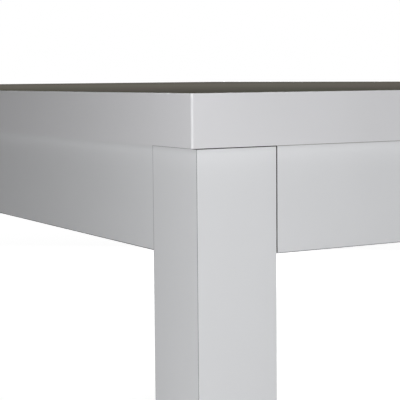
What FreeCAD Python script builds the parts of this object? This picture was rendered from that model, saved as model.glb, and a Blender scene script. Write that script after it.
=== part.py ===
import FreeCAD, Part
import os
import Sketcher
from FreeCAD import Placement, Rotation, Vector

# A parsons dining table that comes apart: a thick laminated top, four rails under it and four square
# legs, each held to two rails by a steel corner bracket and hanger bolts.
# Frame: X along the length, Y across, Z up, origin on the floor under the middle of the top.
# The front is the long side at -Y, the right is the short side at +X.

doc = FreeCAD.newDocument("ParsonsTable")

# ---------------------------------------------------------------- driving sizes, in millimetres
DRIVING_SIZES = [
    ("TableLength", 2000, "overall length, along X"),
    ("TableWidth", 1200, "overall width, along Y"),
    ("TableHeight", 750, "floor to the top surface"),
    ("TopThickness", 46, "thickness of the top at its edge"),
    ("TopSheet", 1, "laminate sheet on the top"),
    ("BackerSheet", 1, "balancing sheet under the main board"),
    ("MainBoard", 22, "thickness of the main board"),
    ("BandThickness", 3, "plastic edge band round the top"),
    ("TopCorner", 2, "radius of the top's vertical corners"),
    ("BattenWidth", 110, "width of the battens round the edge"),
    ("CrossBattenWidth", 80, "width of the battens across the top"),
    ("CrossBattenOffset", 450, "side cross battens, from the middle"),
    ("TopOverhang", 11, "edge of the top to the legs and rails"),
    ("LegSide", 80, "side of the square leg, sheets included"),
    ("LegTopGap", 1.5, "gap between a leg and the top"),
    ("FacingSheet", 0.7, "laminate sheet on legs and rails"),
    ("NotchSide", 24, "cut-off inner corner of a leg, along each face"),
    ("NotchHeight", 88, "length of that cut, down from the leg's top"),
    ("RailHeight", 96, "height of the rails"),
    ("RailThickness", 20, "thickness of the rails, sheet included"),
    ("RailSheetDrop", 1.1, "top of a rail's face sheet below its core's"),
    ("LongRailGap", 0.1, "joint between a long rail and a leg"),
    ("ShortRailGap", 1.2, "joint between a short rail and a leg"),
    ("CrossRailHeight", 70, "height of the centre cross rail"),
    ("CrossRailThickness", 20, "thickness of the centre cross rail"),
    ("CrossRailGap", 0.3, "joint between the cross rail and a long rail"),
    ("CornerPlate", 3, "steel of the corner brackets"),
    ("CornerPlateHeight", 64, "height of the corner brackets"),
    ("CornerPlateDrop", 16, "top of a corner bracket below the top"),
    ("CornerPlateGap", 4, "leg's cut face to the corner bracket"),
    ("FlangeLength", 42, "corner bracket's flange along a rail"),
    ("FlangeHoleEnd", 12, "flange's end to its screw holes"),
    ("FlangeHolePitch", 36, "height between a flange's two screws"),
    ("BendRadius", 2, "inside radius of bent steel"),
    ("BoltDiameter", 8, "hanger bolt"),
    ("BoltPitch", 30, "height between a leg's two bolts"),
    ("BoltInLeg", 45, "length of a bolt inside the leg"),
    ("BoltTip", 8, "length of a bolt's point"),
    ("BoltEase", 1, "slant round a bolt's free end"),
    ("BoltPastNut", 4, "end of a bolt beyond its nut"),
    ("BoltClearance", 1, "bolt hole over bolt, on diameter"),
    ("WasherDiameter", 20, "washer"),
    ("WasherThickness", 1.6, "washer"),
    ("NutAcross", 13, "nut, across its flats"),
    ("NutHeight", 6.5, "nut"),
    ("NutEase", 1.2, "slant cut off a nut's corners"),
    ("ScrewDiameter", 4, "wood screws"),
    ("ScrewTip", 4, "length of a wood screw's point"),
    ("ScrewHead", 8, "diameter of a wood screw's head"),
    ("PanHeadHeight", 2.6, "height of a pan head"),
    ("PanHeadRim", 1.3, "height of a pan head's upright rim"),
    ("PanHeadFlat", 5, "diameter of a pan head's flat top"),
    ("BracketScrewLength", 16, "pan-head screws of the brackets"),
    ("BattenScrewLength", 35, "countersunk screws of the battens"),
    ("GlideScrewLength", 25, "countersunk screws of the glides"),
    ("RecessAcross", 4.4, "cross recess in a screw's head"),
    ("RecessSlot", 1, "width of the cross recess's arms"),
    ("RecessDepth", 1.2, "depth of the cross recess"),
    ("ScrewClearance", 0.5, "screw hole in steel or nylon, on diameter"),
    ("AngleLeg", 30, "each leg of an angle bracket"),
    ("AnglePlate", 2.5, "steel of the angle brackets"),
    ("AngleWidth", 20, "width of an angle bracket"),
    ("AngleHole", 19, "angle bracket's corner to its screws"),
    ("AngleEnd", 140, "rail's end to its first angle bracket"),
    ("CrossAngleDrop", 22, "top of the cross rail to its first angle bracket"),
    ("CrossAnglePitch", 26, "height between the cross rail's end brackets"),
    ("CrossAngleReach", 200, "cross rail's middle to its top brackets"),
    ("BattenScrewInset", 20, "batten's inner edge to its screws"),
    ("LongBattenScrewEnd", 150, "top's end to the long battens' first screw"),
    ("BattenScrewEnd", 60, "end of the other battens to their first screw"),
    ("GlideDiameter", 40, "nylon glide under a leg"),
    ("GlideHeight", 6, "nylon glide"),
    ("GlideEase", 1, "slant round a glide's lower edge"),
    ("GlideRecess", 3, "depth of the hollow for a glide's screw head"),
    ("GlideRecessDiameter", 11, "that hollow's diameter"),
]
sizes = doc.addObject("Spreadsheet::Sheet", "Sizes")
for row, (alias, size, meaning) in enumerate(DRIVING_SIZES, start=1):
    sizes.set(f"A{row}", meaning)
    sizes.set(f"B{row}", str(size))
    sizes.setAlias(f"B{row}", alias)
doc.recompute()

# Sizes that follow from the driving ones, as expressions.
HALF_LENGTH = "(Sizes.TableLength / 2)"
HALF_WIDTH = "(Sizes.TableWidth / 2)"
UNDERSIDE = "(Sizes.TableHeight - Sizes.TopThickness)"
SHEET_UNDERSIDE = "(Sizes.TableHeight - Sizes.TopSheet)"
BOARD_UNDERSIDE = f"({SHEET_UNDERSIDE} - Sizes.MainBoard)"
BOARD_LENGTH = "(Sizes.TableLength - 2 * Sizes.BandThickness)"
BOARD_WIDTH = "(Sizes.TableWidth - 2 * Sizes.BandThickness)"
BATTEN_THICKNESS = f"({BOARD_UNDERSIDE} - Sizes.BackerSheet - {UNDERSIDE})"
BETWEEN_LONG_BATTENS = f"({BOARD_WIDTH} - 2 * Sizes.BattenWidth)"
BATTEN_SCREW_REACH = "(Sizes.BandThickness + Sizes.BattenWidth - Sizes.BattenScrewInset)"
LEG_LENGTH = f"({UNDERSIDE} - Sizes.LegTopGap - Sizes.GlideHeight)"
LEG_REACH = "(Sizes.TopOverhang + Sizes.LegSide / 2)"
RAIL_INNER_FACE = "(Sizes.TopOverhang + Sizes.RailThickness)"
LONG_RAIL = "(Sizes.TableLength - 2 * (Sizes.TopOverhang + Sizes.LegSide + Sizes.LongRailGap))"
SHORT_RAIL = "(Sizes.TableWidth - 2 * (Sizes.TopOverhang + Sizes.LegSide + Sizes.ShortRailGap))"
CORNER_PLATE_MIDDLE = f"({UNDERSIDE} - Sizes.CornerPlateDrop - Sizes.CornerPlateHeight / 2)"
SCREW_CONE = "((Sizes.ScrewHead - Sizes.ScrewDiameter) / 2)"

# Each side of the table: the axis it faces, its sign, and the turn that points X away from that side.
SIDES = {
    "front": ("Y", -1, 90),
    "back": ("Y", 1, -90),
    "left": ("X", -1, 0),
    "right": ("X", 1, 180),
}
# Each corner: the signs of X and Y, and the turn that points X and Y away from it.
CORNERS = {
    "front_left": (-1, -1, 0),
    "front_right": (1, -1, 90),
    "back_right": (1, 1, 180),
    "back_left": (-1, 1, 270),
}
UP = Vector(0, 0, 1)
DOWN = Vector(0, 0, -1)

sub_parts = []


# ---------------------------------------------------------------- ways of making a piece
def value(expression):
    """What an expression comes to with the present sizes."""
    return float(sizes.evalExpression(expression))


def turned(degrees):
    """A turn about the vertical."""
    return Rotation(UP, degrees)


def place(piece, x="0", y="0", z="0", turn=None):
    """Puts a piece's own origin at three expressions, after a turn."""
    if turn is not None:
        piece.Placement = Placement(Vector(), turn)
    for axis, expression in zip("xyz", (x, y, z)):
        piece.setExpression(f"Placement.Base.{axis}", expression)
    return piece


def sub_part(piece):
    """Counts a piece as one of the table's named sub-parts."""
    sub_parts.append(piece)
    return piece


def board(name, length, width, height, x="0", y="0", z="0"):
    """A squared board, centred on x and y and standing on z."""
    piece = doc.addObject("Part::Box", name)
    piece.setExpression("Length", length)
    piece.setExpression("Width", width)
    piece.setExpression("Height", height)
    return place(piece, f"{x} - ({length}) / 2", f"{y} - ({width}) / 2", z)


def beside(side, along, reach):
    """x and y of a point along one side, reach in from the top's edge."""
    axis, sign, _ = SIDES[side]
    if axis == "Y":
        return along, f"{sign} * ({HALF_WIDTH} - {reach})"
    return f"{sign} * ({HALF_LENGTH} - {reach})", along


def side_board(name, side, run, depth, height, reach, z):
    """A board that runs along one side, its outer face reach in from the top's edge."""
    x, y = beside(side, "0", f"({reach} + ({depth}) / 2)")
    if SIDES[side][0] == "Y":
        return board(name, run, depth, height, x, y, z)
    return board(name, depth, run, height, x, y, z)


def at_corner(corner, reach):
    """x and y of a point on a corner's diagonal, reach in from both edges of the top."""
    sign_x, sign_y, _ = CORNERS[corner]
    return f"{sign_x} * ({HALF_LENGTH} - {reach})", f"{sign_y} * ({HALF_WIDTH} - {reach})"


def without(name, piece, tool):
    """The piece with the tool's shape cut out of it."""
    cut = doc.addObject("Part::Cut", name)
    cut.Base = piece
    cut.Tool = tool
    return cut


def together(name, pieces):
    """Several separate solids under one name."""
    group = doc.addObject("Part::Compound", name)
    group.Links = pieces
    return group


def copies(name, pattern, spots):
    """Copies of one piece; each spot is x, y, z and a turn."""
    links = []
    for x, y, z, turn in spots:
        link = doc.addObject("App::Link", f"{name}_copy")
        link.LinkedObject = pattern
        links.append(place(link, x, y, z, turn))
    return together(name, links)


def new_body(name):
    return doc.addObject("PartDesign::Body", name)


def sketch_on(body, role, offset="0"):
    """A sketch on one of a body's origin planes, lifted off it by offset."""
    sketch = body.newObject("Sketcher::SketchObject", f"{body.Name}_sketch")
    plane = next(each for each in body.Origin.OriginFeatures if each.Role == role)
    sketch.AttachmentSupport = [(plane, "")]
    sketch.MapMode = "FlatFace"
    sketch.setExpression("AttachmentOffset.Base.z", offset)
    return sketch


def hold_point(sketch, geometry, position, x, y):
    """Ties a point of the sketch to its origin by two expressions."""
    for kind, expression in (("DistanceX", x), ("DistanceY", y)):
        constraint = Sketcher.Constraint(kind, -1, 1, geometry, position, value(expression))
        number = sketch.addConstraint(constraint)
        sketch.setExpression(f"Constraints[{number}]", expression)


def draw_outline(sketch, corners):
    """A closed outline of straight sides; each corner is two expressions."""
    points = [Vector(value(x), value(y), 0) for x, y in corners]
    first = sketch.GeometryCount
    for number, point in enumerate(points):
        sketch.addGeometry(Part.LineSegment(point, points[(number + 1) % len(points)]))
    for number, (x, y) in enumerate(corners):
        following = (number + 1) % len(corners)
        sketch.addConstraint(Sketcher.Constraint("Coincident", first + number, 2, first + following, 1))
        hold_point(sketch, first + number, 1, x, y)


def draw_rectangle(sketch, length, width, x="0", y="0"):
    """A rectangle centred on x and y."""
    low_x, high_x = f"({x} - {length} / 2)", f"({x} + {length} / 2)"
    low_y, high_y = f"({y} - {width} / 2)", f"({y} + {width} / 2)"
    draw_outline(sketch, [(low_x, low_y), (high_x, low_y), (high_x, high_y), (low_x, high_y)])


def draw_circle(sketch, diameter, x="0", y="0"):
    """A circle about x and y."""
    centre = Vector(value(x), value(y), 0)
    number = sketch.addGeometry(Part.Circle(centre, Vector(0, 0, 1), value(diameter) / 2))
    hold_point(sketch, number, 3, x, y)
    constraint = sketch.addConstraint(Sketcher.Constraint("Diameter", number, value(diameter)))
    sketch.setExpression(f"Constraints[{constraint}]", diameter)


def pad(body, sketch, length, midplane=False):
    feature = body.newObject("PartDesign::Pad", f"{body.Name}_pad")
    feature.Profile = sketch
    feature.Midplane = midplane
    feature.setExpression("Length", length)
    doc.recompute()
    return feature


def pocket(body, sketch, depth=None, reverse=False):
    """Cuts a sketch out of a body, right through it unless a depth is given."""
    before = body.Shape.Volume
    feature = body.newObject("PartDesign::Pocket", f"{body.Name}_pocket")
    feature.Profile = sketch
    feature.Reversed = reverse
    if depth is None:
        feature.Type = "ThroughAll"
    else:
        feature.setExpression("Length", depth)
    doc.recompute()
    if not body.Shape.Volume < before:
        raise RuntimeError(f"{body.Label}: a pocket cuts nothing")
    return feature


def revolve(body, corners):
    """A solid of revolution about Z; each corner is a radius and a height."""
    sketch = sketch_on(body, "XZ_Plane")
    draw_outline(sketch, corners)
    feature = body.newObject("PartDesign::Revolution", f"{body.Name}_revolution")
    feature.Profile = sketch
    feature.ReferenceAxis = (sketch, ["V_Axis"])
    feature.Angle = 360
    doc.recompute()
    return feature


def fillet(body, radius, wanted):
    """Rounds those edges of the body's tip whose middle satisfies wanted."""
    tip = body.Tip
    names = []
    for number, edge in enumerate(tip.Shape.Edges, start=1):
        if wanted(edge.CenterOfMass, edge.Length):
            names.append(f"Edge{number}")
    feature = body.newObject("PartDesign::Fillet", f"{body.Name}_fillet")
    feature.Base = (tip, names)
    feature.setExpression("Radius", radius)
    doc.recompute()
    return feature


def near(first, second):
    """Whether two lengths are the same to a hundredth of a millimetre."""
    return abs(first - second) < 0.01


def upright_at(*points):
    """Picks the upright edges at the given points; each is two expressions."""
    places = [(value(x), value(y)) for x, y in points]
    return lambda middle, length: any(near(middle.x, x) and near(middle.y, y) for x, y in places)


# ---------------------------------------------------------------- screws
def cross_recess(screw, head_top):
    """The cross-shaped recess in a screw's head."""
    arm, slot = "(Sizes.RecessAcross / 2)", "(Sizes.RecessSlot / 2)"
    quarter = [(arm, f"(-{slot})"), (arm, slot), (slot, slot)]
    corners = []
    for _ in range(4):
        corners += quarter
        quarter = [(f"(-{y})", x) for x, y in quarter]
    sketch = sketch_on(screw, "XY_Plane", head_top)
    draw_outline(sketch, corners)
    pocket(screw, sketch, "Sizes.RecessDepth")


def screw_shank(length):
    """Point and shank of a wood screw whose head starts at height 0."""
    return [
        ("0", f"(-{length})"),
        ("(Sizes.ScrewDiameter / 2)", f"(Sizes.ScrewTip - {length})"),
    ]


def pan_head_screw(name, length):
    """A screw that stands on steel: the underside of its head is at height 0."""
    screw = new_body(name)
    revolve(screw, screw_shank(length) + [
        ("(Sizes.ScrewDiameter / 2)", "0"),
        ("(Sizes.ScrewHead / 2)", "0"),
        ("(Sizes.ScrewHead / 2)", "Sizes.PanHeadRim"),
        ("(Sizes.PanHeadFlat / 2)", "Sizes.PanHeadHeight"),
        ("0", "Sizes.PanHeadHeight"),
    ])
    cross_recess(screw, "Sizes.PanHeadHeight")
    return screw


def countersunk_hole(name, length):
    """The shape that a countersunk screw takes up in wood or nylon; its flat top is at height 0."""
    hole = new_body(name)
    revolve(hole, screw_shank(length) + [
        ("(Sizes.ScrewDiameter / 2)", f"(-{SCREW_CONE})"),
        ("(Sizes.ScrewHead / 2)", "0"),
        ("0", "0"),
    ])
    return hole


def countersunk_screw(name, length):
    """A countersunk screw, with the recess in its head."""
    screw = countersunk_hole(name, length)
    cross_recess(screw, "0")
    return screw


bracket_screw = pan_head_screw("bracket_screw_pattern", "Sizes.BracketScrewLength")
batten_screw = countersunk_screw("batten_screw_pattern", "Sizes.BattenScrewLength")
glide_screw = countersunk_screw("glide_screw_pattern", "Sizes.GlideScrewLength")

# ---------------------------------------------------------------- batten screws
# They go up through the battens and the balancing sheet into the main board.
HEAD_DOWN = Rotation(UP, DOWN)
CROSS_BATTENS = {
    "left": "(-Sizes.CrossBattenOffset)",
    "centre": "0",
    "right": "Sizes.CrossBattenOffset",
}
batten_screw_spots = []
for side in ("front", "back"):
    for share in ("-1", "-1/2", "0", "1/2", "1"):
        along = f"{share} * ({HALF_LENGTH} - Sizes.LongBattenScrewEnd)"
        batten_screw_spots.append((*beside(side, along, BATTEN_SCREW_REACH), UNDERSIDE, HEAD_DOWN))
for side in ("left", "right"):
    for share in (-1, 0, 1):
        along = f"{share} * ({BETWEEN_LONG_BATTENS} / 2 - Sizes.BattenScrewEnd)"
        batten_screw_spots.append((*beside(side, along, BATTEN_SCREW_REACH), UNDERSIDE, HEAD_DOWN))
for middle in CROSS_BATTENS.values():
    for share in (-1, 0, 1):
        along = f"{share} * ({BETWEEN_LONG_BATTENS} / 2 - Sizes.BattenScrewEnd)"
        batten_screw_spots.append((middle, along, UNDERSIDE, HEAD_DOWN))
sub_part(copies("batten_screws", batten_screw, batten_screw_spots))
batten_hole = countersunk_hole("batten_hole_pattern", "Sizes.BattenScrewLength")
batten_holes = copies("batten_holes", batten_hole, batten_screw_spots)

# ---------------------------------------------------------------- angle brackets and their screws
# An angle bracket's own origin is on its bend: X runs along one leg and -Z along the other.
angle_pattern = new_body("angle_bracket_pattern")
angle_sketch = sketch_on(angle_pattern, "XZ_Plane")
draw_outline(angle_sketch, [
    ("0", "0"),
    ("Sizes.AngleLeg", "0"),
    ("Sizes.AngleLeg", "(-Sizes.AnglePlate)"),
    ("Sizes.AnglePlate", "(-Sizes.AnglePlate)"),
    ("Sizes.AnglePlate", "(-Sizes.AngleLeg)"),
    ("0", "(-Sizes.AngleLeg)"),
])
pad(angle_pattern, angle_sketch, "Sizes.AngleWidth", midplane=True)
plate = value("Sizes.AnglePlate")
fillet(angle_pattern, "Sizes.BendRadius",
       lambda middle, length: near(middle.x, plate) and near(middle.z, -plate))
fillet(angle_pattern, "(Sizes.BendRadius + Sizes.AnglePlate)",
       lambda middle, length: near(middle.x, 0) and near(middle.z, 0))
SCREW_HOLE = "(Sizes.ScrewDiameter + Sizes.ScrewClearance)"
angle_hole = sketch_on(angle_pattern, "XY_Plane")
draw_circle(angle_hole, SCREW_HOLE, "Sizes.AngleHole")
pocket(angle_pattern, angle_hole)
angle_hole = sketch_on(angle_pattern, "YZ_Plane")
draw_circle(angle_hole, SCREW_HOLE, "0", "(-Sizes.AngleHole)")
pocket(angle_pattern, angle_hole, reverse=True)


def angle_turn(first_leg, second_leg):
    """The turn that lays a bracket's X leg and its -Z leg along two directions."""
    up = second_leg * -1
    return Rotation(first_leg, up.cross(first_leg), up, "XZY")


def shifted(point, direction, distance):
    """The point moved along a direction; all three expressions."""
    return tuple(f"{start} + {part:g} * ({distance})" for start, part in zip(point, direction))


def angle_and_screws(point, first_leg, second_leg):
    """One bracket's spot and the spots of the two screws in it."""
    first = shifted(shifted(point, first_leg, "Sizes.AngleHole"), second_leg, "Sizes.AnglePlate")
    second = shifted(shifted(point, second_leg, "Sizes.AngleHole"), first_leg, "Sizes.AnglePlate")
    screws = [(*first, Rotation(UP, second_leg)), (*second, Rotation(UP, first_leg))]
    return (*point, angle_turn(first_leg, second_leg)), screws


def inward(side):
    """The direction from a side towards the middle of the table."""
    axis, sign, _ = SIDES[side]
    return Vector(0, -sign, 0) if axis == "Y" else Vector(-sign, 0, 0)


# Rails to top: four brackets on a long rail, two on a short one.
top_angles = []
cross_angles = []
angle_screw_spots = []
for side, (axis, _, _) in SIDES.items():
    rail = LONG_RAIL if axis == "Y" else SHORT_RAIL
    shares = ("-1", "-1/3", "1/3", "1") if axis == "Y" else ("-1", "1")
    for share in shares:
        along = f"{share} * ({rail} / 2 - Sizes.AngleEnd)"
        point = (*beside(side, along, RAIL_INNER_FACE), UNDERSIDE)
        angle, screws = angle_and_screws(point, inward(side), DOWN)
        top_angles.append(angle)
        angle_screw_spots += screws

# Cross rail to long rails: one bracket each side of each end, at two heights so that the screws miss.
# Cross rail to top: one bracket each side.
for face in (-1, 1):
    face_x = f"{face} * Sizes.CrossRailThickness / 2"
    for side in ("front", "back"):
        lower = 1 if face == SIDES[side][1] else 0
        drop = f"(Sizes.CrossAngleDrop + {lower} * Sizes.CrossAnglePitch)"
        _, wall = beside(side, "0", RAIL_INNER_FACE)
        point = (face_x, wall, f"{UNDERSIDE} - {drop}")
        angle, screws = angle_and_screws(point, inward(side), Vector(face, 0, 0))
        cross_angles.append(angle)
        angle_screw_spots += screws
    point = (face_x, f"{face} * Sizes.CrossAngleReach", UNDERSIDE)
    angle, screws = angle_and_screws(point, Vector(face, 0, 0), DOWN)
    cross_angles.append(angle)
    angle_screw_spots += screws

sub_part(copies("rail_angle_brackets", angle_pattern, top_angles))
sub_part(copies("cross_rail_angle_brackets", angle_pattern, cross_angles))
angle_screws = sub_part(copies("angle_bracket_screws", bracket_screw, angle_screw_spots))

# ---------------------------------------------------------------- corner brackets and their screws
# Own frame of a corner bracket: origin at the leg's outer corner, X and Y along the two rails.
# A flat plate crosses the corner behind the leg, and a flange at each end lies on a rail.
CUT_FACE = "(Sizes.LegSide - Sizes.NotchSide / 2)"
PLATE_FACE = f"({CUT_FACE} + Sizes.CornerPlateGap / sqrt(2))"
BEND = f"(2 * {PLATE_FACE} - Sizes.RailThickness)"
FLANGE_END = f"({BEND} + Sizes.FlangeLength)"
INNER_BEND = f"({BEND} + Sizes.CornerPlate * tan(22.5 deg))"
FLANGE_FACE = "(Sizes.RailThickness + Sizes.CornerPlate)"
FLANGE_HOLE = f"({FLANGE_END} - Sizes.FlangeHoleEnd)"
FLANGE_HOLE_HEIGHTS = [
    "(Sizes.CornerPlateHeight / 2 - Sizes.FlangeHolePitch / 2)",
    "(Sizes.CornerPlateHeight / 2 + Sizes.FlangeHolePitch / 2)",
]
BOLT_HEIGHTS = ["(-Sizes.BoltPitch / 2)", "(Sizes.BoltPitch / 2)"]


def corner_bracket(name):
    """Bent from one strip of steel, drilled in its flanges for screws and in its plate for two bolts."""
    bracket = new_body(name)
    sketch = sketch_on(bracket, "XY_Plane")
    draw_outline(sketch, [
        (FLANGE_END, "Sizes.RailThickness"),
        (BEND, "Sizes.RailThickness"),
        ("Sizes.RailThickness", BEND),
        ("Sizes.RailThickness", FLANGE_END),
        (FLANGE_FACE, FLANGE_END),
        (FLANGE_FACE, INNER_BEND),
        (INNER_BEND, FLANGE_FACE),
        (FLANGE_END, FLANGE_FACE),
    ])
    pad(bracket, sketch, "Sizes.CornerPlateHeight")
    fillet(bracket, "Sizes.BendRadius",
           upright_at((INNER_BEND, FLANGE_FACE), (FLANGE_FACE, INNER_BEND)))
    fillet(bracket, "(Sizes.BendRadius + Sizes.CornerPlate)",
           upright_at((BEND, "Sizes.RailThickness"), ("Sizes.RailThickness", BEND)))

    for role, reverse in (("XZ_Plane", False), ("YZ_Plane", True)):
        holes = sketch_on(bracket, role)
        for height in FLANGE_HOLE_HEIGHTS:
            draw_circle(holes, SCREW_HOLE, FLANGE_HOLE, height)
        pocket(bracket, holes, FLANGE_FACE, reverse)
    return bracket


corner_screw_spots = []
bolt_spots = []
washer_spots = []
nut_spots = []
for corner, (sign_x, sign_y, _) in CORNERS.items():
    inward_x, inward_y = Vector(-sign_x, 0, 0), Vector(0, -sign_y, 0)
    diagonal = inward_x + inward_y
    foot_x, foot_y = at_corner(corner, "Sizes.TopOverhang")
    for height in FLANGE_HOLE_HEIGHTS:
        z = f"{UNDERSIDE} - Sizes.CornerPlateDrop - Sizes.CornerPlateHeight + {height}"
        start = (foot_x, foot_y, z)
        for out, into in ((inward_x, inward_y), (inward_y, inward_x)):
            spot = shifted(shifted(start, out, FLANGE_HOLE), into, FLANGE_FACE)
            corner_screw_spots.append((*spot, Rotation(UP, into)))
    for height in BOLT_HEIGHTS:
        start = (foot_x, foot_y, f"{CORNER_PLATE_MIDDLE} + {height}")
        along_diagonal = Rotation(UP, diagonal)
        washer_face = f"{PLATE_FACE} + Sizes.CornerPlate / sqrt(2)"
        nut_face = f"{washer_face} + Sizes.WasherThickness / sqrt(2)"
        bolt_spots.append((*shifted(start, diagonal, CUT_FACE), along_diagonal))
        washer_spots.append((*shifted(start, diagonal, washer_face), along_diagonal))
        nut_spots.append((*shifted(start, diagonal, nut_face), along_diagonal))
corner_screws = sub_part(copies("corner_bracket_screws", bracket_screw, corner_screw_spots))

# ---------------------------------------------------------------- hanger bolts, washers and nuts
# A bolt's own origin is where it leaves the leg's cut face; its point is at the other end, in the leg.
BOLT_REACH = ("(Sizes.CornerPlateGap + Sizes.CornerPlate + Sizes.WasherThickness"
              " + Sizes.NutHeight + Sizes.BoltPastNut)")
bolt_pattern = new_body("hanger_bolt_pattern")
revolve(bolt_pattern, [
    ("0", "(-Sizes.BoltInLeg)"),
    ("(Sizes.BoltDiameter / 2)", "(Sizes.BoltTip - Sizes.BoltInLeg)"),
    ("(Sizes.BoltDiameter / 2)", f"({BOLT_REACH} - Sizes.BoltEase)"),
    ("(Sizes.BoltDiameter / 2 - Sizes.BoltEase)", BOLT_REACH),
    ("0", BOLT_REACH),
])
hanger_bolts = sub_part(copies("hanger_bolts", bolt_pattern, bolt_spots))

BOLT_HOLE = "(Sizes.BoltDiameter + Sizes.BoltClearance)"
washer_pattern = new_body("washer_pattern")
washer_sketch = sketch_on(washer_pattern, "XY_Plane")
draw_circle(washer_sketch, "Sizes.WasherDiameter")
draw_circle(washer_sketch, BOLT_HOLE)
pad(washer_pattern, washer_sketch, "Sizes.WasherThickness")
sub_part(copies("bolt_washers", washer_pattern, washer_spots))

nut_pattern = new_body("nut_pattern")
nut_sketch = sketch_on(nut_pattern, "XY_Plane")
NUT_CORNER = "(Sizes.NutAcross / sqrt(3))"
draw_outline(nut_sketch, [(f"({NUT_CORNER} * cos({angle} deg))", f"({NUT_CORNER} * sin({angle} deg))")
                          for angle in range(0, 360, 60)])
draw_circle(nut_sketch, "Sizes.BoltDiameter")
pad(nut_pattern, nut_sketch, "Sizes.NutHeight")
ease_sketch = sketch_on(nut_pattern, "XZ_Plane")
draw_outline(ease_sketch, [
    (f"({NUT_CORNER} - Sizes.NutEase)", "Sizes.NutHeight"),
    (f"({NUT_CORNER} + Sizes.NutEase)", "(Sizes.NutHeight - Sizes.NutEase)"),
    (f"({NUT_CORNER} + Sizes.NutEase)", "Sizes.NutHeight"),
])
before_ease = nut_pattern.Shape.Volume
nut_ease = nut_pattern.newObject("PartDesign::Groove", "nut_ease")
nut_ease.Profile = ease_sketch
nut_ease.ReferenceAxis = (ease_sketch, ["V_Axis"])
nut_ease.Angle = 360
doc.recompute()
if not nut_pattern.Shape.Volume < before_ease:
    raise RuntimeError("the nut's corners are not cut")
sub_part(copies("bolt_nuts", nut_pattern, nut_spots))

# The bolt holes in a corner bracket are cut by a round bar the size of the hole.
hole_bar = new_body("bolt_hole_bar")
bar_sketch = sketch_on(hole_bar, "XY_Plane")
draw_circle(bar_sketch, BOLT_HOLE)
pad(hole_bar, bar_sketch, BOLT_REACH)
bolt_hole_bars = copies("bolt_hole_bars", hole_bar, bolt_spots)
for corner, (_, _, turn) in CORNERS.items():
    bracket = corner_bracket(f"corner_bracket_{corner}_blank")
    foot_x, foot_y = at_corner(corner, "Sizes.TopOverhang")
    foot_z = f"{UNDERSIDE} - Sizes.CornerPlateDrop - Sizes.CornerPlateHeight"
    place(bracket, foot_x, foot_y, foot_z, turned(turn))
    sub_part(without(f"corner_bracket_{corner}", bracket, bolt_hole_bars))

# ---------------------------------------------------------------- foot glides
# A nylon disc with a hollow for its screw's head; the hollow keeps the head off the floor.
GLIDE_RADIUS = "(Sizes.GlideDiameter / 2)"
GLIDE_HOLE = "((Sizes.ScrewDiameter + Sizes.ScrewClearance) / 2)"


def glide(name):
    disc = new_body(name)
    revolve(disc, [
        ("(Sizes.GlideRecessDiameter / 2)", "0"),
        (f"({GLIDE_RADIUS} - Sizes.GlideEase)", "0"),
        (GLIDE_RADIUS, "Sizes.GlideEase"),
        (GLIDE_RADIUS, "Sizes.GlideHeight"),
        (GLIDE_HOLE, "Sizes.GlideHeight"),
        (GLIDE_HOLE, f"(Sizes.GlideRecess + Sizes.ScrewHead / 2 - {GLIDE_HOLE})"),
        ("(Sizes.ScrewHead / 2)", "Sizes.GlideRecess"),
        ("(Sizes.GlideRecessDiameter / 2)", "Sizes.GlideRecess"),
    ])
    return disc


glide_screw_spots = []
for corner in CORNERS:
    foot_x, foot_y = at_corner(corner, LEG_REACH)
    sub_part(place(glide(f"glide_{corner}"), foot_x, foot_y))
    glide_screw_spots.append((foot_x, foot_y, "Sizes.GlideRecess", HEAD_DOWN))
glide_screws = sub_part(copies("glide_screws", glide_screw, glide_screw_spots))


# ---------------------------------------------------------------- legs
# Own frame of a core: origin at the leg's outer corner, X and Y into the table, Z up from the glide.
def leg_core(name):
    """A square post with its inner corner cut off at the top, where the bracket crosses it."""
    post = new_body(name)
    sketch = sketch_on(post, "XY_Plane")
    core_side = "(Sizes.LegSide - 2 * Sizes.FacingSheet)"
    draw_rectangle(sketch, core_side, core_side, "Sizes.LegSide / 2", "Sizes.LegSide / 2")
    pad(post, sketch, LEG_LENGTH)
    notch = sketch_on(post, "XY_Plane", LEG_LENGTH)
    draw_outline(notch, [
        ("Sizes.LegSide", "(Sizes.LegSide - Sizes.NotchSide)"),
        ("Sizes.LegSide", "Sizes.LegSide"),
        ("(Sizes.LegSide - Sizes.NotchSide)", "Sizes.LegSide"),
    ])
    pocket(post, notch, "Sizes.NotchHeight")
    return post


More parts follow.
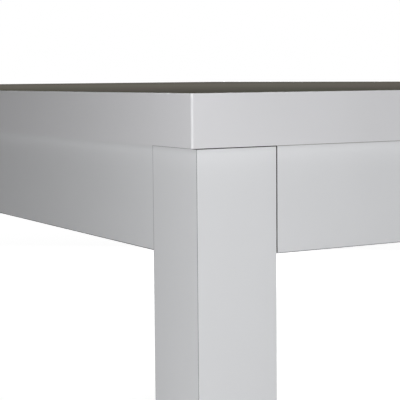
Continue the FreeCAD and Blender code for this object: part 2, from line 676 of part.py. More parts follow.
leg_fasteners = together("leg_fasteners", [hanger_bolts, glide_screws])
SHEET_MIDDLE = "(Sizes.LegSide / 2 - Sizes.FacingSheet / 2)"
for corner, (_, _, turn) in CORNERS.items():
    foot_x, foot_y = at_corner(corner, "Sizes.TopOverhang")
    post = place(leg_core(f"leg_{corner}_post"), foot_x, foot_y, "Sizes.GlideHeight", turned(turn))
    sub_part(without(f"leg_{corner}_core", post, leg_fasteners))

    # The sheets on the inner faces stop at the cut corner.
    leg_x, leg_y = at_corner(corner, LEG_REACH)
    notch_x, notch_y = at_corner(corner, "(Sizes.TopOverhang + Sizes.LegSide - Sizes.NotchSide / 2)")
    notch_z = f"Sizes.GlideHeight + {LEG_LENGTH} - Sizes.NotchHeight"
    notch = board(f"leg_{corner}_notch", "Sizes.NotchSide", "Sizes.NotchSide", "Sizes.NotchHeight",
                  notch_x, notch_y, notch_z)
    covers = [board(f"leg_{corner}_cover", "Sizes.FacingSheet", "Sizes.LegSide", LEG_LENGTH,
                    f"{leg_x} + {end} * {SHEET_MIDDLE}", leg_y, "Sizes.GlideHeight")
              for end in (-1, 1)]
    covers = together(f"leg_{corner}_covers", covers)
    sub_part(without(f"leg_{corner}_cover_sheets", covers, notch))
    sides = [board(f"leg_{corner}_side", "Sizes.LegSide - 2 * Sizes.FacingSheet", "Sizes.FacingSheet",
                   LEG_LENGTH, leg_x, f"{leg_y} + {end} * {SHEET_MIDDLE}", "Sizes.GlideHeight")
             for end in (-1, 1)]
    sides = together(f"leg_{corner}_sides", sides)
    sub_part(without(f"leg_{corner}_side_sheets", sides, notch))

# ---------------------------------------------------------------- rails
# A core that touches the top, a white sheet on its outer face that stops short of it, and a strip
# under both.
rail_screws = together("rail_screws", [corner_screws, angle_screws])
RAIL_FOOT = f"({UNDERSIDE} - Sizes.RailHeight)"
STRIP_TOP = f"({RAIL_FOOT} + Sizes.FacingSheet)"
CORE_HEIGHT = "(Sizes.RailHeight - Sizes.FacingSheet)"
for side in SIDES:
    run = LONG_RAIL if SIDES[side][0] == "Y" else SHORT_RAIL
    core = side_board(f"rail_{side}_blank", side, run, "(Sizes.RailThickness - Sizes.FacingSheet)",
                      CORE_HEIGHT, "(Sizes.TopOverhang + Sizes.FacingSheet)", STRIP_TOP)
    sub_part(without(f"rail_{side}_core", core, rail_screws))
    sub_part(side_board(f"rail_{side}_face_sheet", side, run, "Sizes.FacingSheet",
                        f"({CORE_HEIGHT} - Sizes.RailSheetDrop)", "Sizes.TopOverhang", STRIP_TOP))
    sub_part(side_board(f"rail_{side}_bottom_strip", side, run, "Sizes.RailThickness",
                        "Sizes.FacingSheet", "Sizes.TopOverhang", RAIL_FOOT))

cross_rail_run = f"(Sizes.TableWidth - 2 * ({RAIL_INNER_FACE} + Sizes.CrossRailGap))"
cross_rail = board("centre_cross_rail_blank", "Sizes.CrossRailThickness", cross_rail_run,
                   "Sizes.CrossRailHeight", z=f"{UNDERSIDE} - Sizes.CrossRailHeight")
sub_part(without("centre_cross_rail", cross_rail, angle_screws))

# ---------------------------------------------------------------- tabletop
# From the top down: laminate sheet, main board, balancing sheet, battens; a plastic band round them.
sub_part(board("top_sheet", BOARD_LENGTH, BOARD_WIDTH, "Sizes.TopSheet", z=SHEET_UNDERSIDE))
main_board = board("main_board_blank", BOARD_LENGTH, BOARD_WIDTH, "Sizes.MainBoard", z=BOARD_UNDERSIDE)
sub_part(without("main_board", main_board, batten_holes))
backer = board("backer_blank", BOARD_LENGTH, BOARD_WIDTH, "Sizes.BackerSheet",
               z=f"{BOARD_UNDERSIDE} - Sizes.BackerSheet")
sub_part(without("balancing_sheet", backer, batten_holes))

top_screws = together("top_screws", [batten_holes, angle_screws])
for side in SIDES:
    run = BOARD_LENGTH if SIDES[side][0] == "Y" else BETWEEN_LONG_BATTENS
    batten = side_board(f"batten_{side}_blank", side, run, "Sizes.BattenWidth", BATTEN_THICKNESS,
                        "Sizes.BandThickness", UNDERSIDE)
    sub_part(without(f"batten_{side}", batten, top_screws))
for name, middle in CROSS_BATTENS.items():
    batten = board(f"cross_batten_{name}_blank", "Sizes.CrossBattenWidth", BETWEEN_LONG_BATTENS,
                   BATTEN_THICKNESS, x=middle, z=UNDERSIDE)
    sub_part(without(f"cross_batten_{name}", batten, top_screws))

# The long bands cover the ends of the short ones, and their outer corners are rounded.
for side in ("front", "back"):
    band = new_body(f"edge_band_{side}")
    band_sketch = sketch_on(band, "XY_Plane")
    draw_rectangle(band_sketch, "Sizes.BandThickness", "Sizes.TableLength", "Sizes.BandThickness / 2")
    pad(band, band_sketch, "Sizes.TopThickness")
    fillet(band, "Sizes.TopCorner",
           lambda middle, length: near(middle.x, 0) and near(length, value("Sizes.TopThickness")))
    edge_x, edge_y = beside(side, "0", "0")
    sub_part(place(band, edge_x, edge_y, UNDERSIDE, turned(SIDES[side][2])))
for side in ("left", "right"):
    sub_part(side_board(f"edge_band_{side}", side, BOARD_WIDTH, "Sizes.BandThickness",
                        "Sizes.TopThickness", "0", UNDERSIDE))

# ---------------------------------------------------------------- checks and files
doc.recompute()
for each in doc.Objects:
    if "Invalid" in each.State or "Error" in each.State:
        raise RuntimeError(f"{each.Label} failed: {each.State}")
for piece in sub_parts:
    if piece.Shape.isNull() or not piece.Shape.isValid() or not piece.Shape.Solids:
        raise RuntimeError(f"{piece.Label} has no valid solid")

os.makedirs("parts", exist_ok=True)
for piece in sub_parts:
    piece.Shape.exportStep(f"parts/{piece.Label}.step")
print(f"{len(sub_parts)} sub-parts written")
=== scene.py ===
import math

import bpy
import numpy as np
from mathutils import Matrix, Vector


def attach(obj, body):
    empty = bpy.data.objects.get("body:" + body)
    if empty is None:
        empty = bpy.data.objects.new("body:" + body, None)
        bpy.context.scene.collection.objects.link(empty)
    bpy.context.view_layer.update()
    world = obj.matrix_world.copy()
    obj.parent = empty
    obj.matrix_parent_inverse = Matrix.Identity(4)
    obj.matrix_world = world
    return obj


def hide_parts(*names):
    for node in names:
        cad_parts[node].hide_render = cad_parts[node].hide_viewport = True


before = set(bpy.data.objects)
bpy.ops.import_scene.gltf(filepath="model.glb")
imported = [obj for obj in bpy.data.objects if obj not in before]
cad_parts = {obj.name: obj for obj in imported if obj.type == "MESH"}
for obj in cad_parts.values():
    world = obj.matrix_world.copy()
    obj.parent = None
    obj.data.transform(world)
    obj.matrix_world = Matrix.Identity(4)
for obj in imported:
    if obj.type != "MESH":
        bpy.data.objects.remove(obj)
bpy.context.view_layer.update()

scene = bpy.context.scene

# ---------------------------------------------------------------- leg cores
# Each leg is a square post of medium-density fibreboard, glued up, planed and then cut off at its inner
# top corner for the bracket. Wood fibre and resin pressed dry give it a fine, even, warm tan face with
# paler and darker fibre bundles. Its saw-cut ends are painted a dark grey, partly for the sawn fibre's own
# tone and partly as painted shade in the gap over each leg and in the seams where the rails meet the legs.
MM = 0.001
CORNERS = ("front_left", "front_right", "back_left", "back_right")
FIBRE_BUNDLE = 0.9 * MM    # real bundles are 0.3 mm across, which is too fine to show
BOARD_CLOUD = 70 * MM      # where the fibre mat was a little thicker or thinner
LOOKS_ALONG = 0.7          # cosine of about 45 degrees
# The Mix node names its sockets alike for every kind of value, so the colour ones go by number.
MIX_A, MIX_B, MIX_OUT = 6, 7, 2


def linear(hex_colour):
    """An sRGB hex colour as the linear colour that a shader takes."""
    parts = [int(hex_colour[start:start + 2], 16) / 255 for start in (1, 3, 5)]
    return [*(part / 12.92 if part <= 0.04045 else ((part + 0.055) / 1.055) ** 2.4 for part in parts), 1.0]


def feed(tree, node, inputs):
    """Gives a node's inputs their values, or links them to the sockets that they read."""
    for name, given in inputs.items():
        if isinstance(given, bpy.types.NodeSocket):
            tree.links.new(given, node.inputs[name])
        else:
            node.inputs[name].default_value = given


def add(tree, kind, inputs, **settings):
    """Adds a node with its settings and feeds its inputs."""
    node = tree.nodes.new(kind)
    for name, setting in settings.items():
        setattr(node, name, setting)
    feed(tree, node, inputs)
    return node


def new_finish(name):
    """A material with its node tree, its shader and its texture coordinates."""
    material = bpy.data.materials.new(name)
    material.use_nodes = True
    tree = material.node_tree
    return material, tree, tree.nodes["Principled BSDF"], add(tree, "ShaderNodeTexCoord", {})


def facing(tree, place, axis):
    """1 where the surface looks along an axis of the table, either way, and 0 elsewhere."""
    split = add(tree, "ShaderNodeSeparateXYZ", {"Vector": place.outputs["Normal"]})
    size = add(tree, "ShaderNodeMath", {0: split.outputs[axis]}, operation="ABSOLUTE")
    along = add(tree, "ShaderNodeMath", {0: size.outputs[0], 1: LOOKS_ALONG}, operation="GREATER_THAN")
    return along.outputs[0]


def dress(names, finish):
    """Gives CAD pieces a finish in place of the plain one that they came with."""
    for name in names:
        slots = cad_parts[name].data.materials
        slots.clear()
        slots.append(finish)


def fibreboard(name, end_axis, shade_above=None, groove_shade=None):
    """Fibreboard whose sawn ends look along one axis, darker as sawn ends and as painted shade in gaps, with
    painted groove shade on all above a given height.
    """
    finish, tree, shader, place = new_finish(name)
    fibre = add(tree, "ShaderNodeTexNoise", {
        "Vector": place.outputs["Object"], "Scale": 1 / FIBRE_BUNDLE, "Detail": 3.0, "Roughness": 0.7})
    cloud = add(tree, "ShaderNodeTexNoise", {
        "Vector": place.outputs["Object"], "Scale": 1 / BOARD_CLOUD, "Detail": 2.0})
    tone = add(tree, "ShaderNodeMath", {
        0: fibre.outputs["Fac"], 1: cloud.outputs["Fac"]}, operation="MULTIPLY")
    spread = add(tree, "ShaderNodeMapRange", {
        "Value": tone.outputs[0], "From Min": 0.12, "From Max": 0.40})
    sides = add(tree, "ShaderNodeMix", {
        0: spread.outputs[0], MIX_A: linear("#94744E"), MIX_B: linear("#BE9D74")}, data_type="RGBA")
    # Sawn ends in dark grey: partly their own tone, partly painted shade in the gaps over the legs and in
    # the seams at the rail ends.
    ends_and_gap_shade = add(tree, "ShaderNodeMix", {
        0: spread.outputs[0], MIX_A: linear("#423D38"), MIX_B: linear("#5C564F")}, data_type="RGBA")
    colour = add(tree, "ShaderNodeMix", {
        0: facing(tree, place, end_axis), MIX_A: sides.outputs[MIX_OUT], MIX_B: ends_and_gap_shade.outputs[MIX_OUT]},
        data_type="RGBA")
    # Painted shade on the core above a given height, in the groove under the tabletop.
    if groove_shade:
        height = add(tree, "ShaderNodeSeparateXYZ", {"Vector": place.outputs["Object"]})
        in_groove_shade = add(tree, "ShaderNodeMath", {
            0: height.outputs["Z"], 1: shade_above}, operation="GREATER_THAN")
        colour = add(tree, "ShaderNodeMix", {
            0: in_groove_shade.outputs[0], MIX_A: colour.outputs[MIX_OUT], MIX_B: linear(groove_shade)}, data_type="RGBA")
    bump = add(tree, "ShaderNodeBump", {
        "Height": fibre.outputs["Fac"], "Strength": 0.3, "Distance": 0.1 * MM})
    feed(tree, shader, {"Base Color": colour.outputs[MIX_OUT], "Roughness": 0.85,
                        "Normal": bump.outputs["Normal"], "Specular IOR Level": 0.3})
    return finish


dress([f"leg_{corner}_core" for corner in CORNERS], fibreboard("fibreboard post", "Z"))

# ---------------------------------------------------------------- white sheets on the legs
# High-pressure laminate 0.7 mm thick, contact-glued on and trimmed flush. Its face is melamine on white
# paper, pressed against a finely textured plate: satin, almost even, with a grain felt more than seen.
# The trimmed edge shows the grey core papers, a thin dark line at each corner of a leg.
PRESS_GRAIN = 0.8 * MM     # real grain is 0.2 to 0.4 mm, which is too fine to show
HANDLING_CLOUD = 140 * MM  # where hands and cloths have polished the face a little
END_FROM = 0.985           # metres from the table's middle, just inside the faces at its two ends
CORE_PAPER = "#ACACB0"
DIRTY_PAPER = "#68686C"    # at the table's ends, where hands and cloths have left dirt in it


def white_laminate(name, axis, edge, end_edge):
    """White laminate whose faces look along one axis. Its thin edges, which look along the others, have
    a colour of their own, and another one at the table's two ends."""
    finish, tree, shader, place = new_finish(name)
    grain = add(tree, "ShaderNodeTexNoise", {
        "Vector": place.outputs["Object"], "Scale": 1 / PRESS_GRAIN, "Detail": 2.0})
    cloud = add(tree, "ShaderNodeTexNoise", {
        "Vector": place.outputs["Object"], "Scale": 1 / HANDLING_CLOUD, "Detail": 3.0})
    face = add(tree, "ShaderNodeMix", {
        0: cloud.outputs["Fac"], MIX_A: linear("#DADBDD"), MIX_B: linear("#E0E1E3")}, data_type="RGBA")
    split = add(tree, "ShaderNodeSeparateXYZ", {"Vector": place.outputs["Object"]})
    from_middle = add(tree, "ShaderNodeMath", {0: split.outputs["X"]}, operation="ABSOLUTE")
    at_end = add(tree, "ShaderNodeMath", {0: from_middle.outputs[0], 1: END_FROM}, operation="GREATER_THAN")
    thin = add(tree, "ShaderNodeMix", {
        0: at_end.outputs[0], MIX_A: linear(edge), MIX_B: linear(end_edge)}, data_type="RGBA")
    colour = add(tree, "ShaderNodeMix", {
        0: facing(tree, place, axis), MIX_A: thin.outputs[MIX_OUT], MIX_B: face.outputs[MIX_OUT]},
        data_type="RGBA")
    rough = add(tree, "ShaderNodeMapRange", {"Value": cloud.outputs["Fac"], "To Min": 0.44, "To Max": 0.58})
    bump = add(tree, "ShaderNodeBump", {
        "Height": grain.outputs["Fac"], "Strength": 0.1, "Distance": 0.04 * MM})
    feed(tree, shader, {"Base Color": colour.outputs[MIX_OUT], "Roughness": rough.outputs[0],
                        "Normal": bump.outputs["Normal"], "Specular IOR Level": 0.15})
    return finish


sheet_x = white_laminate("white laminate facing the ends", "X", CORE_PAPER, DIRTY_PAPER)
sheet_y = white_laminate("white laminate facing the long sides", "Y", CORE_PAPER, DIRTY_PAPER)
dress([f"leg_{corner}_cover_sheets" for corner in CORNERS], sheet_x)
dress([f"leg_{corner}_side_sheets" for corner in CORNERS], sheet_y)

# ---------------------------------------------------------------- foot glides
# A disc of grey nylon under each leg, injection moulded against a spark-eroded mould, so it is matt and
# finely pitted. Its rim is rubbed smoother and paler where it slides on the floor.
MOULD_PIT = 0.5 * MM
SCUFF = 4 * MM
RUBBED_TO, RUBBED_FULLY = 1.2 * MM, 0.2 * MM    # heights over the floor

nylon, tree, shader, place = new_finish("moulded grey nylon")
pits = add(tree, "ShaderNodeTexVoronoi", {"Vector": place.outputs["Object"], "Scale": 1 / MOULD_PIT})
height = add(tree, "ShaderNodeSeparateXYZ", {"Vector": place.outputs["Object"]})
rubbed = add(tree, "ShaderNodeMapRange", {
    "Value": height.outputs["Z"], "From Min": RUBBED_TO, "From Max": RUBBED_FULLY})
scuff = add(tree, "ShaderNodeTexNoise", {
    "Vector": place.outputs["Object"], "Scale": 1 / SCUFF, "Detail": 4.0})
rubbed = add(tree, "ShaderNodeMath", {0: rubbed.outputs[0], 1: scuff.outputs["Fac"]}, operation="MULTIPLY")
colour = add(tree, "ShaderNodeMix", {
    0: rubbed.outputs[0], MIX_A: linear("#46474A"), MIX_B: linear("#8A8B8C")}, data_type="RGBA")
rough = add(tree, "ShaderNodeMapRange", {"Value": rubbed.outputs[0], "To Min": 0.55, "To Max": 0.35})
bump = add(tree, "ShaderNodeBump", {
    "Height": pits.outputs["Distance"], "Strength": 0.3, "Distance": 0.05 * MM})
feed(tree, shader, {"Base Color": colour.outputs[MIX_OUT], "Roughness": rough.outputs[0],
                    "Normal": bump.outputs["Normal"], "IOR": 1.53})
dress([f"glide_{corner}" for corner in CORNERS], nylon)

# ---------------------------------------------------------------- hanger bolts
# Two in each leg, M8, cold-rolled and bright zinc-plated: a coarse wood thread screwed 45 mm into the
# fibreboard, and a machine thread that stands out through the corner bracket for the nut.
BOLT_MIDDLES = ((0.921, 0.521, 0.641), (0.921, 0.521, 0.671))   # where a bolt leaves the leg's cut corner
BOLT_IN_LEG, BOLT_OUTSIDE = 45 * MM, 19.1 * MM
CREST, MACHINE_ROOT, WOOD_ROOT = 3.98 * MM, 3.38 * MM, 2.9 * MM
MACHINE_PITCH, WOOD_PITCH = 1.25 * MM, 3.2 * MM
THREAD_CHANGE = -2 * MM
POINT, CHAMFER = 8 * MM, 1 * MM      # lengths of the cones at its two ends
RIDGE_FOOT, RIDGE_TOP = 0.4, 0.08    # half widths of a ridge, as shares of the pitch
STEPS_ROUND = 28
WOOD_RINGS, MACHINE_RINGS = 130, 140
FIRST_RING, RING_GAP = 0.3 * MM, 0.15 * MM    # past the point, and past the change of thread


def threaded_radius(along, turn):
    """Radius of a threaded bar: a ridge that climbs one pitch a turn, with straight flanks and a flat
    top, coarse up to THREAD_CHANGE and fine beyond, and a cone at each end that limits it."""
    pitch = np.where(along < THREAD_CHANGE, WOOD_PITCH, MACHINE_PITCH)
    root = np.where(along < THREAD_CHANGE, WOOD_ROOT, MACHINE_ROOT)
    phase = (along / pitch - turn / (2 * np.pi)) % 1
    ridge = np.clip((RIDGE_FOOT - np.abs(phase - 0.5)) / (RIDGE_FOOT - RIDGE_TOP), 0, 1)
    point = (along + BOLT_IN_LEG) * CREST / POINT
    chamfer = CREST - CHAMFER + (BOLT_OUTSIDE - along)
    return np.minimum(np.minimum(root + (CREST - root) * ridge, np.maximum(point, 0)), chamfer)


def closed_bar(rings, ends_and_gap_shade):
    """Points and faces of bars from rings (bar, ring, step, xyz) and their two end points (bar, 2, xyz):
    each step joins its neighbours in quads, and a fan of triangles closes each end."""
    bars, count, steps = rings.shape[:3]
    per_bar = count * steps + 2
    points = np.concatenate([rings.reshape(bars, -1, 3), ends_and_gap_shade], axis=1).reshape(-1, 3)
    step = np.arange(steps)
    following = (step + 1) % steps
    base = (np.arange(count - 1) * steps)[:, None]
    quads = np.stack([base + step, base + following, base + steps + following, base + steps + step], -1)
    low = np.stack([np.full(steps, count * steps), following, step], -1)
    last = (count - 1) * steps
    high = np.stack([np.full(steps, count * steps + 1), last + step, last + following], -1)
    starts = (np.arange(bars) * per_bar)[:, None, None]
    quads = (quads.reshape(1, -1, 4) + starts).reshape(-1, 4)
    fans = (np.concatenate([low, high])[None] + starts).reshape(-1, 3)
    return points, quads.tolist() + fans.tolist()


along = np.concatenate([
    np.linspace(-BOLT_IN_LEG + FIRST_RING, THREAD_CHANGE, WOOD_RINGS),
    np.linspace(THREAD_CHANGE + RING_GAP, BOLT_OUTSIDE, MACHINE_RINGS)])
turn = np.linspace(0, 2 * np.pi, STEPS_ROUND, endpoint=False)
radius = threaded_radius(along[:, None], turn[None])
bolt_rings, bolt_ends = [], []
for sign_x in (-1, 1):
    for sign_y in (-1, 1):
        for x, y, z in BOLT_MIDDLES:
            start = np.array([sign_x * x, sign_y * y, z])
            axis = np.array([-sign_x, -sign_y, 0]) / math.sqrt(2)
            side = np.cross([0, 0, 1], axis)
            round_axis = np.cos(turn)[:, None] * side + np.sin(turn)[:, None] * np.cross(axis, side)
            bolt_rings.append(start + along[:, None, None] * axis + radius[..., None] * round_axis)
            bolt_ends.append([start - BOLT_IN_LEG * axis, start + BOLT_OUTSIDE * axis])
points, faces = closed_bar(np.array(bolt_rings), np.array(bolt_ends))
mesh = bpy.data.meshes.new("threaded_hanger_bolts")
mesh.from_pydata(points, [], faces)
bolts = bpy.data.objects.new("threaded_hanger_bolts", mesh)
scene.collection.objects.link(bolts)
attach(bolts, "root")
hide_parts("hanger_bolts")

# Bright zinc is a thin plated layer: silver-blue, a little cloudy, with fine marks from tumbling.
TUMBLE_MARK = 1.5 * MM
PLATING_CLOUD = 12 * MM


def zinc_plate(name, light, dark, rough_low, rough_high, marks):
    """Zinc plating with cloudy tone and roughness; marks are the pattern's repeats a metre on each axis."""
    finish, tree, shader, place = new_finish(name)
    stretched = add(tree, "ShaderNodeMapping", {"Vector": place.outputs["Object"], "Scale": marks})
    mark = add(tree, "ShaderNodeTexNoise", {
        "Vector": stretched.outputs["Vector"], "Scale": 1.0, "Detail": 3.0, "Roughness": 0.6})
    cloud = add(tree, "ShaderNodeTexNoise", {
        "Vector": place.outputs["Object"], "Scale": 1 / PLATING_CLOUD, "Detail": 3.0})
    tone = add(tree, "ShaderNodeMath", {
        0: mark.outputs["Fac"], 1: cloud.outputs["Fac"]}, operation="MULTIPLY")
    tone = add(tree, "ShaderNodeMapRange", {"Value": tone.outputs[0], "From Min": 0.1, "From Max": 0.42})
    colour = add(tree, "ShaderNodeMix", {
        0: tone.outputs[0], MIX_A: linear(dark), MIX_B: linear(light)}, data_type="RGBA")
    rough = add(tree, "ShaderNodeMapRange", {
        "Value": tone.outputs[0], "To Min": rough_high, "To Max": rough_low})
    bump = add(tree, "ShaderNodeBump", {
        "Height": mark.outputs["Fac"], "Strength": 0.15, "Distance": 0.03 * MM})
    feed(tree, shader, {"Base Color": colour.outputs[MIX_OUT], "Metallic": 1.0,
                        "Roughness": rough.outputs[0], "Normal": bump.outputs["Normal"]})
    return finish


fastener_zinc = zinc_plate("bright zinc-plated fasteners", "#D3D5D6", "#A9ADB2", 0.22, 0.38,
                           (1 / TUMBLE_MARK, 1 / TUMBLE_MARK, 1 / TUMBLE_MARK))
mesh.materials.append(fastener_zinc)
dress(["glide_screws", "bolt_washers", "bolt_nuts", "corner_bracket_screws", "angle_bracket_screws",
       "batten_screws"], fastener_zinc)

# ---------------------------------------------------------------- rails
# Four fibreboard rails, bare on the inside, faced outside with the legs' white laminate. A strip of it
# covers the bottom edge as well, and the face sheet stops short of the tabletop, which leaves a line.
# The core in that line is painted dark as shade in the groove, darker on the long rails than on the short
# ones.
SIDES = ("front", "back", "left", "right")
GROOVE_BOTTOM = 0.7029     # height of the face sheets' upper edges, in metres
# Colours of the painted shade in the groove above the face sheets: dark on the long rails, paler on the
# short ones.
DARK_GROOVE_SHADE, PALE_GROOVE_SHADE = "#2C2A28", "#96918B"
STRIP_EDGE, STRIP_EDGE_AT_ENDS = "#6A6A6E", "#909094"
dress(["rail_front_core", "rail_back_core"],
      fibreboard("long fibreboard rail", "X", GROOVE_BOTTOM, DARK_GROOVE_SHADE))
dress(["rail_left_core", "rail_right_core"],
      fibreboard("short fibreboard rail", "Y", GROOVE_BOTTOM, PALE_GROOVE_SHADE))
dress(["rail_left_face_sheet", "rail_right_face_sheet"], sheet_x)
dress(["rail_front_face_sheet", "rail_back_face_sheet"], sheet_y)
strip = white_laminate("white laminate strip", "Z", STRIP_EDGE, STRIP_EDGE_AT_ENDS)
dress([f"rail_{side}_bottom_strip" for side in SIDES], strip)

# ---------------------------------------------------------------- corner brackets and angle brackets
# Pressed from cold-rolled strip and zinc-plated in a barrel. The rolling leaves faint lines along the
# strip, and the plating is duller and more uneven than on the fasteners.
ROLLING_LINE = 0.7 * MM
ROLLING_RUN = 30 * MM
bracket_zinc = zinc_plate("zinc-plated pressed steel", "#C3C6C9", "#8F9499", 0.32, 0.52,
                          (1 / ROLLING_RUN, 1 / ROLLING_RUN, 1 / ROLLING_LINE))
dress([f"corner_bracket_{corner}" for corner in CORNERS], bracket_zinc)
dress(["rail_angle_brackets", "cross_rail_angle_brackets"], bracket_zinc)

# ---------------------------------------------------------------- tabletop boards
# The main board is fibreboard, with battens under it that double its edge. The battens and the cross
# rail are chipboard faced with white melamine paper, and their sawn edges show the tan chips.
dress(["main_board"], fibreboard("fibreboard panel", "X"))
CHIP = 2.2 * MM


def faced_chipboard(name, axis):
    """Chipboard with white melamine on the faces that look along one axis, and chips on its cut edges."""
    finish, tree, shader, place = new_finish(name)
    face = facing(tree, place, axis)
    chips = add(tree, "ShaderNodeTexVoronoi", {
        "Vector": place.outputs["Object"], "Scale": 1 / CHIP, "Randomness": 1.0})
    chip_tone = add(tree, "ShaderNodeSeparateColor", {"Color": chips.outputs["Color"]})
    cut = add(tree, "ShaderNodeMix", {
        0: chip_tone.outputs["Red"], MIX_A: linear("#8B6A43"), MIX_B: linear("#CDAE82")}, data_type="RGBA")
    cloud = add(tree, "ShaderNodeTexNoise", {
        "Vector": place.outputs["Object"], "Scale": 1 / HANDLING_CLOUD, "Detail": 3.0})
    melamine = add(tree, "ShaderNodeMix", {
        0: cloud.outputs["Fac"], MIX_A: linear("#D9D9D8"), MIX_B: linear("#E2E2E1")}, data_type="RGBA")
    colour = add(tree, "ShaderNodeMix", {
        0: face, MIX_A: cut.outputs[MIX_OUT], MIX_B: melamine.outputs[MIX_OUT]}, data_type="RGBA")
    rough = add(tree, "ShaderNodeMapRange", {"Value": face, "To Min": 0.9, "To Max": 0.5})
    relief = add(tree, "ShaderNodeMapRange", {"Value": face, "To Min": 0.5, "To Max": 0.03})
    bump = add(tree, "ShaderNodeBump", {
        "Height": chips.outputs["Distance"], "Strength": relief.outputs[0], "Distance": 0.3 * MM})
    feed(tree, shader, {"Base Color": colour.outputs[MIX_OUT], "Roughness": rough.outputs[0],
                        "Normal": bump.outputs["Normal"], "Specular IOR Level": 0.3})
    return finish


flat_chipboard = faced_chipboard("white-faced chipboard laid flat", "Z")
dress([f"batten_{side}" for side in SIDES], flat_chipboard)
dress([f"cross_batten_{name}" for name in ("left", "centre", "right")], flat_chipboard)
dress(["centre_cross_rail"], faced_chipboard("white-faced chipboard on edge", "X"))

# ---------------------------------------------------------------- balancing sheet
# A thinner, cheaper laminate glued under the main board so that the top stays flat. It is a plain
# white-grey, matt, with the fine lines of the belt that sanded its back showing through.
SANDING_LINE = 1.5 * MM
SANDING_RUN = 120 * MM
backer, tree, shader, place = new_finish("white balancing laminate")
stretched = add(tree, "ShaderNodeMapping", {
    "Vector": place.outputs["Object"], "Scale": (1 / SANDING_RUN, 1 / SANDING_LINE, 1.0)})
lines = add(tree, "ShaderNodeTexNoise", {"Vector": stretched.outputs["Vector"], "Scale": 1.0, "Detail": 2.0})
cloud = add(tree, "ShaderNodeTexNoise", {
    "Vector": place.outputs["Object"], "Scale": 1 / HANDLING_CLOUD, "Detail": 3.0})
tone = add(tree, "ShaderNodeMath", {0: lines.outputs["Fac"], 1: cloud.outputs["Fac"]}, operation="MULTIPLY")
spread = add(tree, "ShaderNodeMapRange", {"Value": tone.outputs[0], "From Min": 0.1, "From Max": 0.4})
colour = add(tree, "ShaderNodeMix", {
    0: spread.outputs[0], MIX_A: linear("#CFCFCC"), MIX_B: linear("#D9D9D7")}, data_type="RGBA")
bump = add(tree, "ShaderNodeBump", {
    "Height": lines.outputs["Fac"], "Strength": 0.12, "Distance": 0.05 * MM})
feed(tree, shader, {"Base Color": colour.outputs[MIX_OUT], "Roughness": 0.7,
                    "Normal": bump.outputs["Normal"], "Specular IOR Level": 0.3})
dress(["balancing_sheet"], backer)

# ---------------------------------------------------------------- top sheet
# A dark grey-brown laminate with a dead matt face, pressed against a plate that leaves shallow pits. The
# decor paper is softly mottled, browner in places and more olive in others, with faint paler fibres.
MOTTLE = 170 * MM
FIBRE_LENGTH, FIBRE_WIDTH = 60 * MM, 2.5 * MM
FACE_PIT = 0.9 * MM        # real pits are 0.4 mm, which is too fine to show
top_laminate, tree, shader, place = new_finish("dark matt laminate")
mottle = add(tree, "ShaderNodeTexNoise", {
    "Vector": place.outputs["Object"], "Scale": 1 / MOTTLE, "Detail": 4.0, "Roughness": 0.55})
mottle = add(tree, "ShaderNodeMapRange", {"Value": mottle.outputs["Fac"], "From Min": 0.3, "From Max": 0.7})
hue = add(tree, "ShaderNodeMix", {
    0: mottle.outputs[0], MIX_A: linear("#645E59"), MIX_B: linear("#5D5E54")}, data_type="RGBA")
stretched = add(tree, "ShaderNodeMapping", {
    "Vector": place.outputs["Object"], "Scale": (1 / FIBRE_LENGTH, 1 / FIBRE_WIDTH, 1.0)})
fibres = add(tree, "ShaderNodeTexNoise", {
    "Vector": stretched.outputs["Vector"], "Scale": 1.0, "Detail": 3.0, "Roughness": 0.6})
fibres = add(tree, "ShaderNodeMapRange", {"Value": fibres.outputs["Fac"], "From Min": 0.35, "From Max": 0.75,
                                          "To Min": 0.94, "To Max": 1.08})
colour = add(tree, "ShaderNodeVectorMath", {
    0: hue.outputs[MIX_OUT], "Scale": fibres.outputs[0]}, operation="SCALE")
pits = add(tree, "ShaderNodeTexNoise", {
    "Vector": place.outputs["Object"], "Scale": 1 / FACE_PIT, "Detail": 2.0})
rough = add(tree, "ShaderNodeMapRange", {"Value": mottle.outputs[0], "To Min": 0.72, "To Max": 0.84})
bump = add(tree, "ShaderNodeBump", {
    "Height": pits.outputs["Fac"], "Strength": 0.08, "Distance": 0.05 * MM})
feed(tree, shader, {"Base Color": colour.outputs["Vector"], "Roughness": rough.outputs[0],
                    "Normal": bump.outputs["Normal"], "Specular IOR Level": 0.0})
dress(["top_sheet"], top_laminate)

# ---------------------------------------------------------------- edge bands
# White ABS edging 3 mm thick, extruded, glued round the finished boards, trimmed flush and scraped, with
# its corners rounded. It is slightly smoother than the laminate, with faint lines along its run.
EXTRUSION_LINE = 1.6 * MM
EDGING_CLOUD = 110 * MM
edging, tree, shader, place = new_finish("white ABS edging")
split = add(tree, "ShaderNodeSeparateXYZ", {"Vector": place.outputs["Object"]})
lines = add(tree, "ShaderNodeTexNoise", {"Scale": 1 / EXTRUSION_LINE, "Detail": 2.0}, noise_dimensions="1D")
feed(tree, lines, {"W": split.outputs["Z"]})
cloud = add(tree, "ShaderNodeTexNoise", {
    "Vector": place.outputs["Object"], "Scale": 1 / EDGING_CLOUD, "Detail": 3.0})
colour = add(tree, "ShaderNodeMix", {
    0: cloud.outputs["Fac"], MIX_A: linear("#DADADC"), MIX_B: linear("#E0E0E3")}, data_type="RGBA")
rough = add(tree, "ShaderNodeMapRange", {"Value": cloud.outputs["Fac"], "To Min": 0.4, "To Max": 0.52})
bump = add(tree, "ShaderNodeBump", {
    "Height": lines.outputs["Fac"], "Strength": 0.06, "Distance": 0.03 * MM})
feed(tree, shader, {"Base Color": colour.outputs[MIX_OUT], "Roughness": rough.outputs[0],
                    "Normal": bump.outputs["Normal"], "Specular IOR Level": 0.15})
dress([f"edge_band_{side}" for side in SIDES], edging)

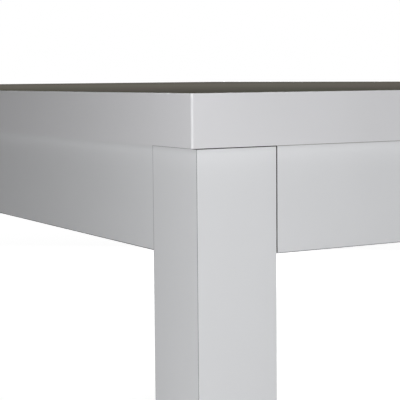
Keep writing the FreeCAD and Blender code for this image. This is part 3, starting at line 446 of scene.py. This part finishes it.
# ---------------------------------------------------------------- studio floor and backdrop
# Seamless white paper that runs out of sight on every side. The camera and shiny surfaces see it almost
# at full white near the table, where it takes the table's shadow, and white farther out.
FLOOR_REACH = 60.0
GLOW_NEAR, GLOW_FAR = 0.88, 1.0
NEAR, FAR = 1.6, 4.5       # metres from under the table's middle
AMBIENT = 0.02
floor_mesh = bpy.data.meshes.new("floor")
floor_mesh.from_pydata([(-FLOOR_REACH, -FLOOR_REACH, 0), (FLOOR_REACH, -FLOOR_REACH, 0),
                        (FLOOR_REACH, FLOOR_REACH, 0), (-FLOOR_REACH, FLOOR_REACH, 0)], [], [(0, 1, 2, 3)])
floor = bpy.data.objects.new("floor", floor_mesh)
scene.collection.objects.link(floor)


def looked_at(tree):
    """1 for the rays that should find white: the camera's, and reflected and refracted ones."""
    path = add(tree, "ShaderNodeLightPath", {})
    seen = add(tree, "ShaderNodeMath", {
        0: path.outputs["Is Camera Ray"], 1: path.outputs["Is Glossy Ray"]}, operation="MAXIMUM")
    return add(tree, "ShaderNodeMath", {
        0: seen.outputs[0], 1: path.outputs["Is Transmission Ray"]}, operation="MAXIMUM").outputs[0]


paper = bpy.data.materials.new("seamless white paper")
paper.use_nodes = True
tree = paper.node_tree
tree.nodes.clear()
place = add(tree, "ShaderNodeTexCoord", {})
distance = add(tree, "ShaderNodeVectorMath", {0: place.outputs["Object"]}, operation="LENGTH")
glow_there = add(tree, "ShaderNodeMapRange", {
    "Value": distance.outputs["Value"], "From Min": NEAR, "From Max": FAR, "To Min": GLOW_NEAR,
    "To Max": GLOW_FAR}, interpolation_type="SMOOTHSTEP")
strength = add(tree, "ShaderNodeMath", {0: looked_at(tree), 1: glow_there.outputs[0]}, operation="MULTIPLY")
matt = add(tree, "ShaderNodeBsdfDiffuse", {"Color": linear("#989898")})
glow = add(tree, "ShaderNodeEmission", {"Strength": strength.outputs[0]})
both = add(tree, "ShaderNodeAddShader", {0: matt.outputs[0], 1: glow.outputs[0]})
add(tree, "ShaderNodeOutputMaterial", {"Surface": both.outputs[0]})
floor_mesh.materials.append(paper)

scene.world = bpy.data.worlds.new("studio")
scene.world.use_nodes = True
tree = scene.world.node_tree
strength = add(tree, "ShaderNodeMapRange", {"Value": looked_at(tree), "To Min": AMBIENT, "To Max": 1.0})
feed(tree, tree.nodes["Background"], {"Color": (1, 1, 1, 1), "Strength": strength.outputs[0]})

# ---------------------------------------------------------------- lamps
# Softboxes, bare or behind a grid that narrows their cone. The key stands close to the front right
# corner, and two lie on the floor beside that corner, as bright paper does there. One hangs over the
# top, and five fill the sides farther away.
SOFTBOXES = (
    # name, place, way it faces from +X, tilt up, width, height, watts, cone: metres and degrees
    ("key_softbox", (1.94, -0.84, 0.745), 117, -7.7, 1.63, 0.52, 10.3, 180),
    ("right_floor_softbox", (1.90, 0.07, 0.03), 0, 90, 1.71, 1.49, 4.8, 180),
    ("front_floor_softbox", (0.84, -1.03, 0.03), 0, 90, 0.97, 0.76, 2.4, 180),
    ("overhead_softbox", (0.1, -0.1, 2.6), 0, -90, 2.0, 1.4, 12, 80),
    ("back_softbox", (-2.5, 2.0, 1.2), -40, -10, 1.5, 1.5, 60, 180),
    ("front_left_softbox", (-0.7, -2.2, 0.9), 90, -10, 1.6, 1.0, 3.6, 34),
    ("right_end_softbox", (2.4, 0.7, 0.4), 185, 5, 0.8, 0.6, 1.2, 45),
    ("left_end_softbox", (-2.4, -0.35, 0.36), 0, 5, 0.8, 0.6, 1.0, 50),
    ("back_right_softbox", (0.7, 2.2, 0.36), 268, 8, 1.2, 0.7, 2.5, 70))
for name, place, faces_to, tilt_up, width, height, watts, cone in SOFTBOXES:
    lamp = bpy.data.lights.new(name, "AREA")
    lamp.shape = "RECTANGLE"
    lamp.size, lamp.size_y = width, height
    lamp.energy = watts
    lamp.spread = math.radians(cone)
    softbox = bpy.data.objects.new(name, lamp)
    yaw, tilt = math.radians(faces_to), math.radians(tilt_up)
    aim = Vector((math.cos(yaw) * math.cos(tilt), math.sin(yaw) * math.cos(tilt), math.sin(tilt)))
    softbox.matrix_world = Matrix.Translation(place) @ aim.to_track_quat("-Z", "Y").to_matrix().to_4x4()
    softbox.visible_camera = False
    scene.collection.objects.link(softbox)

# ---------------------------------------------------------------- camera
# It stands just above the height of the top, off the front right corner, and looks along the diagonal.
CAMERA_PLACE = (1.9210, -1.1224, 0.7638)
CAMERA_TURN = math.radians(60.092)
CAMERA_DOWN = math.radians(5.5273)
CAMERA_ROLL = math.radians(0.4953)
FOCAL_PIXELS, FRAME_PIXELS = 1274.0, 400
SENSOR_WIDTH = 36          # millimetres
NEAREST_SEEN = 0.05

camera = bpy.data.objects.new("camera", bpy.data.cameras.new("camera"))
scene.collection.objects.link(camera)
scene.camera = camera
camera.data.sensor_width = SENSOR_WIDTH
camera.data.lens = SENSOR_WIDTH * FOCAL_PIXELS / FRAME_PIXELS
camera.data.clip_start = NEAREST_SEEN
camera.matrix_world = (
    Matrix.Translation(CAMERA_PLACE) @ Matrix.Rotation(CAMERA_TURN, 4, "Z")
    @ Matrix.Rotation(math.pi / 2 - CAMERA_DOWN, 4, "X") @ Matrix.Rotation(-CAMERA_ROLL, 4, "Z"))
scene.view_settings.view_transform = "Standard"
